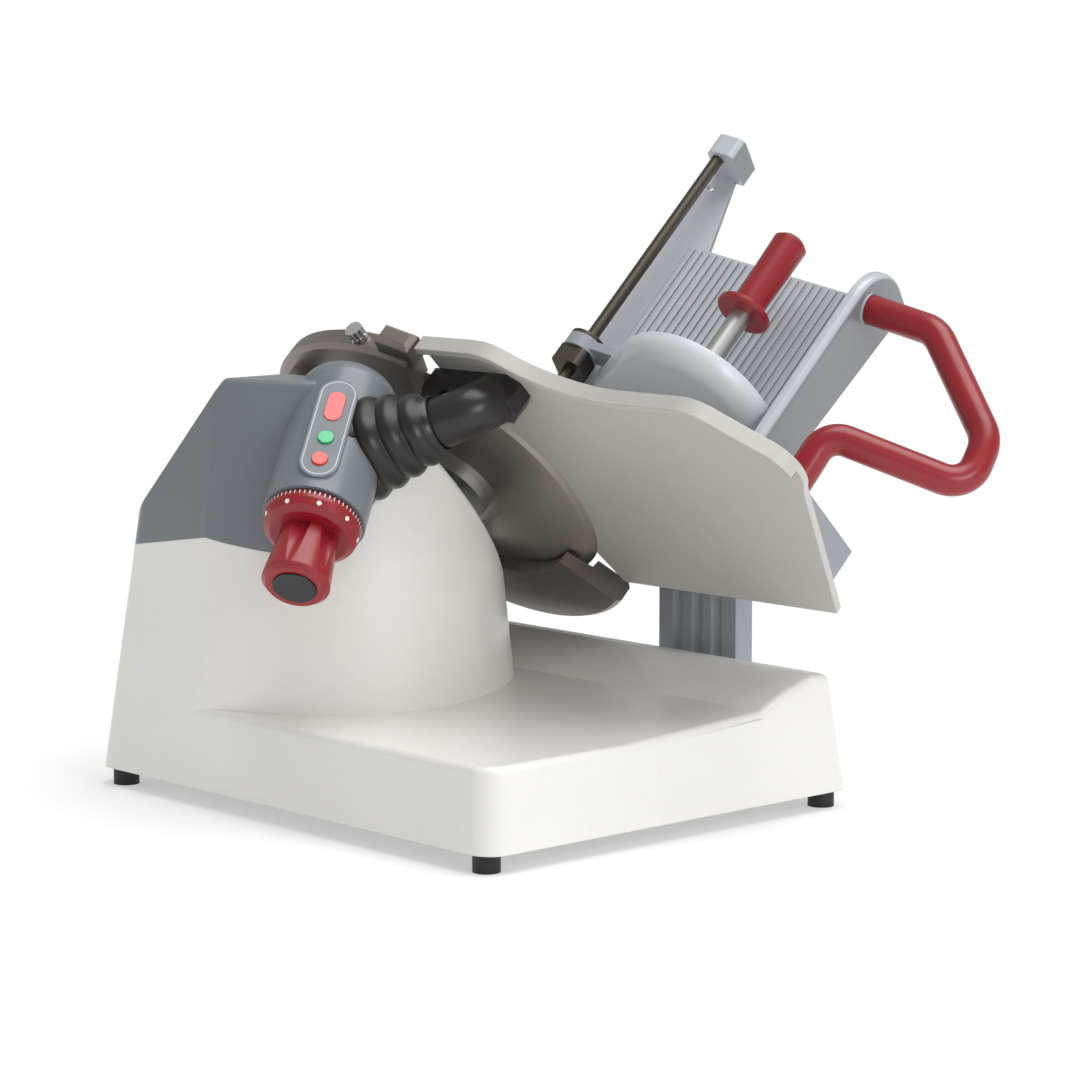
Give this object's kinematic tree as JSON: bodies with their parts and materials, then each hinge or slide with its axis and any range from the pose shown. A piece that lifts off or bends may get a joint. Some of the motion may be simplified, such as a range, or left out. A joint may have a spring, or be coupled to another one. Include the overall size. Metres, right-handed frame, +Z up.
{
  "type": "food slicer",
  "caption": "Gravity-feed food slicer with a tilted round knife in a ring guard, an adjustable slice gauge and a hand-pushed food table on a white cast base.",
  "frame": {"origin": "on the floor under the middle of the whole object's outline", "axes": "+Z up, +X to the food table's side, -Y to the operator"},
  "size_m": [0.697, 0.7422, 0.6496],
  "materials": {
    "white_enamel": "smooth white enamel",
    "grey_enamel": "satin blue-grey enamel",
    "panel_grey": "satin overlay",
    "red_lens": "glossy",
    "green_button": "glossy",
    "red_button": "glossy",
    "knife_steel": "ground and polished",
    "sheet_steel": "brushed",
    "screw_steel": "plain",
    "cast_metal": "as cast",
    "motor_enamel": "satin black",
    "guard_metal": "brushed dark",
    "chrome": "polished",
    "gauge_metal": "satin anodised",
    "table_grey": "satin grey anodised",
    "black_plastic": "satin black",
    "black_rubber": "matt black",
    "foot_rubber": "matt black",
    "red_plastic": "satin dark red",
    "brass": "plain"
  },
  "bodies": {
    "base": {"base_casting": "white_enamel", "bottom_cover": "sheet_steel", "bottom_cover_screws": "screw_steel", "foot_front_left": "foot_rubber", "foot_front_right": "foot_rubber", "foot_rear_left": "foot_rubber", "foot_rear_right": "foot_rubber", "foot_screws": "screw_steel", "upper_housing": "grey_enamel", "housing_screws": "screw_steel", "cord_inlet": "black_plastic", "control_panel": "panel_grey", "indicator_lens": "red_lens", "switch_block": "black_plastic", "bearing_housing": "cast_metal", "knife_bearing_front": "sheet_steel", "knife_bearing_rear": "sheet_steel", "bearing_screws": "screw_steel", "motor_body": "motor_enamel", "motor_bracket": "sheet_steel", "drive_belt": "black_rubber", "ring_guard": "guard_metal", "knife_cover": "guard_metal", "gauge_guide": "cast_metal", "gauge_boot": "black_rubber", "carriage_rod": "sheet_steel", "guide_rod": "sheet_steel"},
    "knife": {"knife_blade": "knife_steel", "knife_shaft": "sheet_steel", "knife_screws": "screw_steel", "knife_pulley": "cast_metal"},
    "motor_rotor": {"motor_shaft": "sheet_steel", "motor_pulley": "cast_metal"},
    "gauge": {"gauge_plate": "gauge_metal", "gauge_arm": "black_plastic", "gauge_screws": "screw_steel", "gauge_slide_bar": "sheet_steel"},
    "nut": {"index_nut": "brass"},
    "index": {"index_knob": "red_plastic", "index_dial": "red_plastic", "knob_cap": "black_plastic", "index_spindle": "sheet_steel"},
    "start": {"start_button": "green_button"},
    "stop": {"stop_button": "red_button"},
    "carriage": {"carriage_truck": "cast_metal", "truck_bushes": "brass", "pivot_pin": "sheet_steel"},
    "table": {"carriage_arm": "table_grey", "carriage_saddle": "table_grey", "product_tray": "table_grey", "carriage_handle": "red_plastic", "handle_screws": "screw_steel", "pusher_rod": "sheet_steel"},
    "slider": {"pusher_slider": "cast_metal"},
    "pusher": {"pusher_arm": "table_grey", "pusher_plate": "table_grey", "pusher_spikes": "sheet_steel", "pusher_stem": "sheet_steel", "pusher_grip": "red_plastic"},
    "latch": {"cover_latch_knob": "chrome"}
  },
  "joints": [
    {"name": "knife_spin", "type": "hinge", "parent": "base", "child": "knife", "pos_m": [0.02281, 0.15814, 0.31014], "axis": [0.7139, 0, 0.7003], "continuous": true},
    {"name": "motor_spin", "type": "hinge", "parent": "base", "child": "motor_rotor", "pos_m": [-0.00625, 0.23164, 0.33977], "axis": [0.7139, 0, 0.7003], "continuous": true},
    {"name": "gauge_slide", "type": "slide", "parent": "base", "child": "gauge", "axis": [-0.7139, 0, -0.7003], "range_m": [0, 0.035], "deforming": ["gauge_boot"]},
    {"name": "index_nut_slide", "type": "slide", "parent": "base", "child": "nut", "axis": [-0.6121, -0.4067, -0.6782], "range_m": [0, 0.03848]},
    {"name": "index_knob_turn", "type": "hinge", "parent": "base", "child": "index", "pos_m": [-0.32728, -0.00236, 0.233], "axis": [0.6121, 0.4067, 0.6782], "range_deg": [0, 300.5]},
    {"name": "start_press", "type": "slide", "parent": "base", "child": "start", "axis": [0.4489, 0.5273, -0.7214], "range_m": [0, 0.002], "stiffness_N_per_m": 400, "springref_m": -0.001},
    {"name": "stop_press", "type": "slide", "parent": "base", "child": "stop", "axis": [0.4489, 0.5273, -0.7214], "range_m": [0, 0.002], "stiffness_N_per_m": 400, "springref_m": -0.001},
    {"name": "carriage_slide", "type": "slide", "parent": "base", "child": "carriage", "axis": [0, 1, 0], "range_m": [-0.11, 0.22]},
    {"name": "table_tilt", "type": "hinge", "parent": "carriage", "child": "table", "pos_m": [0.18872, -0.03086, 0.062], "axis": [0, 1, 0], "range_deg": [0, 35]},
    {"name": "pusher_slide", "type": "slide", "parent": "table", "child": "slider", "axis": [0.7139, 0, 0.7003], "range_m": [-0.091, 0.259]},
    {"name": "pusher_lift", "type": "hinge", "parent": "slider", "child": "pusher", "pos_m": [0.07795, 0.05912, 0.41174], "axis": [-0.7139, 0, -0.7003], "range_deg": [0, 95]},
    {"name": "latch_turn", "type": "hinge", "parent": "base", "child": "latch", "pos_m": [-0.13451, 0.13219, 0.45196], "axis": [-0.6951, -0.1219, 0.7085], "range_deg": [0, 90]}
  ],
  "couplings": [
    {"joint": "motor_spin", "follows": "knife_spin", "ratio": 2},
    {"joint": "index_nut_slide", "follows": "gauge_slide", "ratio": 1.0966},
    {"joint": "index_knob_turn", "follows": "gauge_slide", "rad_per_m": 149.6}
  ]
}
